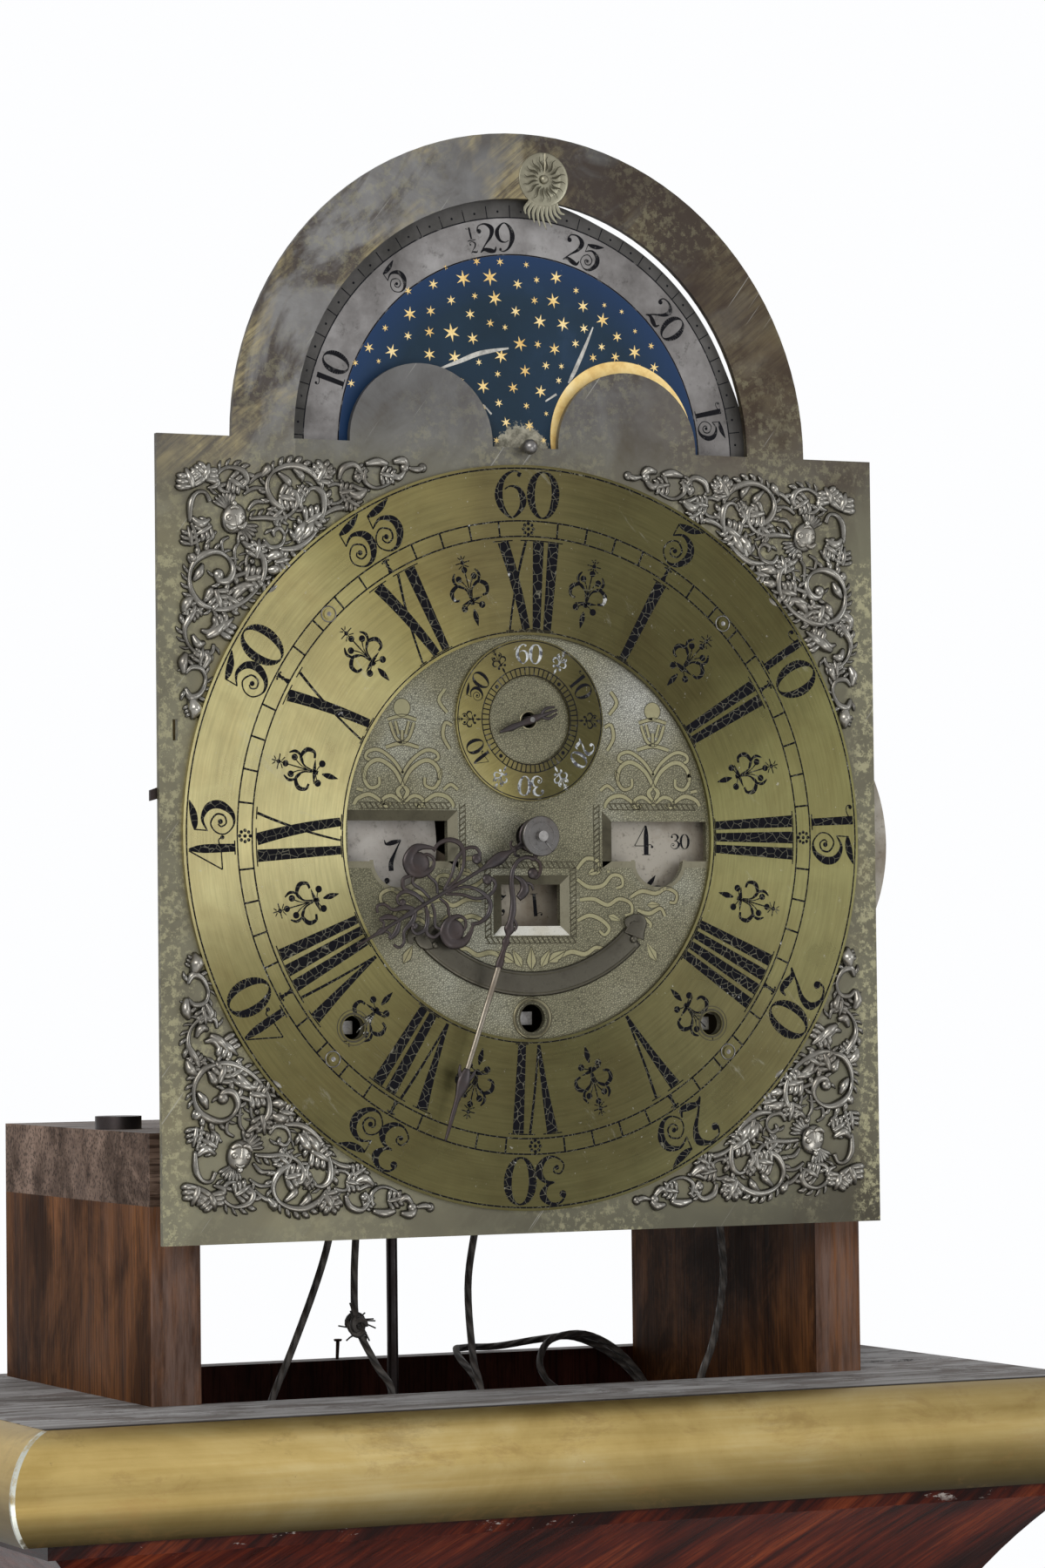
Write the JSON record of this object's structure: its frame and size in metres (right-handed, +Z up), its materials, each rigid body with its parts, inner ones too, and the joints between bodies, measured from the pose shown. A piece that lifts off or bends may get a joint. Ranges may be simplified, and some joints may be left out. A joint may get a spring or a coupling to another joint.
{
  "type": "longcase clock",
  "caption": "Longcase clock with its hood lifted off: veneered case, brass moulding, arched moon dial with calendar, weights and pendulum.",
  "frame": {"origin": "on the floor, midway across and midway between the front of the brass moulding and the back of the backboard", "axes": "+Z up, +X to the right seen from the front, the dial faces -Y"},
  "size_m": [0.473, 0.261, 2.1248],
  "materials": {
    "veneer": "polished rosewood-coloured veneer",
    "dark_wood": "old stained oak, matt and scuffed",
    "dusty_board": "dusty grey-brown softwood",
    "sheet_brass": "satin, lightly tarnished",
    "dial_brass": "tarnished olive-brown with blotches",
    "ring_brass": "brushed in circles, engraved and filled with black wax",
    "cast_brass": "cast, silvered and dulled",
    "movement_brass": "planished, dull",
    "dark_steel": "blued, browned with age",
    "painted_disc": "silvered brass with a painted and gilt night sky",
    "silvered_brass": "silvered, worn",
    "bell_metal": "cast bell metal, polished",
    "line": "twisted gut, dark",
    "glass": "clear"
  },
  "bodies": {
    "case": {"feet": "veneer", "plinth_boards": "veneer", "plinth_mouldings": "veneer", "trunk_sides": "dark_wood", "backboard": "dark_wood", "trunk_front": "veneer", "throat_moulding": "veneer", "brass_moulding": "sheet_brass", "top_board": "dusty_board", "seatboard": "dark_wood", "seatboard_bolts": "dark_steel", "case_hinge_leaves": "sheet_brass", "front_plate": "movement_brass", "back_plate": "movement_brass", "movement_pillars": "movement_brass", "back_cock": "movement_brass", "dial_feet_and_studs": "movement_brass", "dial_plate": "dial_brass", "chapter_ring": "ring_brass", "spandrels": "cast_brass", "seconds_ring": "ring_brass", "dial_ribbon_and_medallion": "dial_brass", "bell": "bell_metal", "strike_line": "line", "going_line": "line", "quarter_line": "line"},
    "door": {"trunk_door": "veneer", "door_brass_trim": "sheet_brass", "lenticle_glass": "glass", "door_hinge_leaves": "sheet_brass", "door_lock": "sheet_brass"},
    "key": {"door_key": "dark_steel"},
    "centre_arbor": {"centre_wheel": "movement_brass", "minute_hand": "dark_steel"},
    "hour_pipe": {"hour_wheel": "movement_brass", "hour_hand": "dark_steel"},
    "motion_wheel": {"minute_wheel": "movement_brass"},
    "escape_arbor": {"escape_wheel": "movement_brass", "seconds_hand": "dark_steel"},
    "third_arbor": {"third_wheel": "movement_brass"},
    "intermediate_arbor": {"intermediate_wheel": "movement_brass"},
    "great": {"great_wheel": "movement_brass"},
    "barrel_going": {"going_barrel": "movement_brass"},
    "barrel_strike": {"strike_barrel": "movement_brass"},
    "barrel_quarter": {"quarter_barrel": "movement_brass"},
    "pallet_arbor": {"pallets": "dark_steel"},
    "pendulum": {"pendulum_rod": "dark_steel", "pendulum_bob": "sheet_brass"},
    "hammer_arbor": {"hammers": "dark_steel"},
    "moon": {"moon_disc": "painted_disc"},
    "weekday": {"weekday_disc": "silvered_brass"},
    "month": {"month_disc": "silvered_brass"},
    "date": {"date_ring": "silvered_brass"},
    "lever": {"strike_silent_lever": "dark_steel"},
    "weight_strike": {"strike_weight": "movement_brass"},
    "weight_going": {"going_weight": "movement_brass"},
    "weight_quarter": {"quarter_weight": "movement_brass"},
    "pulley_strike": {"strike_pulley": "movement_brass"},
    "pulley_going": {"going_pulley": "movement_brass"},
    "pulley_quarter": {"quarter_pulley": "movement_brass"}
  },
  "joints": [
    {"name": "door_hinge", "type": "hinge", "parent": "case", "child": "door", "pos_m": [0.1106, -0.0525, 0.99], "axis": [0, 0, 1], "range_deg": [0, 110]},
    {"name": "key_turn", "type": "hinge", "parent": "door", "child": "key", "pos_m": [-0.0775, -0.0525, 1.05], "axis": [0, 1, 0], "range_deg": [0, 90]},
    {"name": "minute_turn", "type": "hinge", "parent": "case", "child": "centre_arbor", "pos_m": [0, -0.0615, 1.8519], "axis": [0, 1, 0], "continuous": true},
    {"name": "hour_turn", "type": "hinge", "parent": "case", "child": "hour_pipe", "pos_m": [0, -0.0615, 1.8519], "axis": [0, 1, 0], "continuous": true},
    {"name": "motion_turn", "type": "hinge", "parent": "case", "child": "motion_wheel", "pos_m": [0.027, -0.0615, 1.86812], "axis": [0, 1, 0], "continuous": true},
    {"name": "escape_turn", "type": "hinge", "parent": "case", "child": "escape_arbor", "pos_m": [0, -0.0615, 1.897], "axis": [0, 1, 0], "continuous": true},
    {"name": "third_turn", "type": "hinge", "parent": "case", "child": "third_arbor", "pos_m": [-0.01577, -0.0615, 1.87917], "axis": [0, 1, 0], "continuous": true},
    {"name": "intermediate_turn", "type": "hinge", "parent": "case", "child": "intermediate_arbor", "pos_m": [0.01351, -0.0615, 1.82113], "axis": [0, 1, 0], "continuous": true},
    {"name": "great_turn", "type": "hinge", "parent": "case", "child": "great", "pos_m": [0, -0.0615, 1.782], "axis": [0, 1, 0], "continuous": true},
    {"name": "moon_turn", "type": "hinge", "parent": "case", "child": "moon", "pos_m": [0, -0.0615, 2.001], "axis": [0, 1, 0], "continuous": true},
    {"name": "weekday_turn", "type": "hinge", "parent": "case", "child": "weekday", "pos_m": [-0.093, -0.0615, 1.8495], "axis": [0, 1, 0], "continuous": true},
    {"name": "month_turn", "type": "hinge", "parent": "case", "child": "month", "pos_m": [0.093, -0.0615, 1.8495], "axis": [0, 1, 0], "continuous": true},
    {"name": "date_turn", "type": "hinge", "parent": "case", "child": "date", "pos_m": [0, -0.0615, 1.9005], "axis": [0, 1, 0], "continuous": true},
    {"name": "pendulum_swing", "type": "hinge", "parent": "case", "child": "pendulum", "pos_m": [0, 0.0755, 1.923], "axis": [0, 1, 0], "range_deg": [-2.5, 2.5]},
    {"name": "pallet_swing", "type": "hinge", "parent": "case", "child": "pallet_arbor", "pos_m": [0, 0.0755, 1.923], "axis": [0, 1, 0], "range_deg": [-2.5, 2.5]},
    {"name": "hammer_lift", "type": "hinge", "parent": "case", "child": "hammer_arbor", "pos_m": [0.072, -0.0615, 1.9245], "axis": [0, 1, 0], "range_deg": [0, 20]},
    {"name": "lever_shift", "type": "hinge", "parent": "case", "child": "lever", "pos_m": [-0.128, -0.0615, 1.8755], "axis": [0, 1, 0], "range_deg": [-6, 6]},
    {"name": "strike_weight_lift", "type": "slide", "parent": "case", "child": "weight_strike", "axis": [0, 0, 1], "range_m": [0, 1], "deforming": ["strike_line"]},
    {"name": "strike_barrel_turn", "type": "hinge", "parent": "case", "child": "barrel_strike", "pos_m": [-0.0755, -0.0615, 1.7795], "axis": [0, 1, 0], "range_deg": [-4900, 0]},
    {"name": "strike_pulley_turn", "type": "hinge", "parent": "weight_strike", "child": "pulley_strike", "pos_m": [-0.074, 0.0145, 0.378], "axis": [0, 1, 0], "range_deg": [0, 2900]},
    {"name": "going_weight_lift", "type": "slide", "parent": "case", "child": "weight_going", "axis": [0, 0, 1], "range_m": [0, 1], "deforming": ["going_line"]},
    {"name": "going_barrel_turn", "type": "hinge", "parent": "case", "child": "barrel_going", "pos_m": [0, -0.0615, 1.782], "axis": [0, 1, 0], "range_deg": [-4900, 0]},
    {"name": "going_pulley_turn", "type": "hinge", "parent": "weight_going", "child": "pulley_going", "pos_m": [0, 0.0145, 0.378], "axis": [0, 1, 0], "range_deg": [-2900, 0]},
    {"name": "quarter_weight_lift", "type": "slide", "parent": "case", "child": "weight_quarter", "axis": [0, 0, 1], "range_m": [0, 1], "deforming": ["quarter_line"]},
    {"name": "quarter_barrel_turn", "type": "hinge", "parent": "case", "child": "barrel_quarter", "pos_m": [0.077, -0.0615, 1.779], "axis": [0, 1, 0], "range_deg": [-4900, 0]},
    {"name": "quarter_pulley_turn", "type": "hinge", "parent": "weight_quarter", "child": "pulley_quarter", "pos_m": [0.074, 0.0145, 0.378], "axis": [0, 1, 0], "range_deg": [-2900, 0]}
  ],
  "couplings": [
    {"joint": "escape_turn", "follows": "minute_turn", "ratio": 60},
    {"joint": "third_turn", "follows": "minute_turn", "ratio": -8},
    {"joint": "hour_turn", "follows": "minute_turn", "ratio": 0.083333},
    {"joint": "motion_turn", "follows": "minute_turn", "ratio": -0.5},
    {"joint": "intermediate_turn", "follows": "minute_turn", "ratio": -0.16667},
    {"joint": "great_turn", "follows": "minute_turn", "ratio": 0.025},
    {"joint": "moon_turn", "follows": "minute_turn", "ratio": 0.00070621},
    {"joint": "weekday_turn", "follows": "minute_turn", "ratio": 0.0059524},
    {"joint": "month_turn", "follows": "minute_turn", "ratio": 0.00011408},
    {"joint": "date_turn", "follows": "minute_turn", "ratio": 0.0013441},
    {"joint": "pallet_swing", "follows": "pendulum_swing", "ratio": 1},
    {"joint": "strike_barrel_turn", "follows": "strike_weight_lift", "rad_per_m": -85.106},
    {"joint": "strike_pulley_turn", "follows": "strike_weight_lift", "rad_per_m": 50},
    {"joint": "going_barrel_turn", "follows": "going_weight_lift", "rad_per_m": -85.106},
    {"joint": "going_pulley_turn", "follows": "going_weight_lift", "rad_per_m": -50},
    {"joint": "quarter_barrel_turn", "follows": "quarter_weight_lift", "rad_per_m": -85.106},
    {"joint": "quarter_pulley_turn", "follows": "quarter_weight_lift", "rad_per_m": -50}
  ]
}
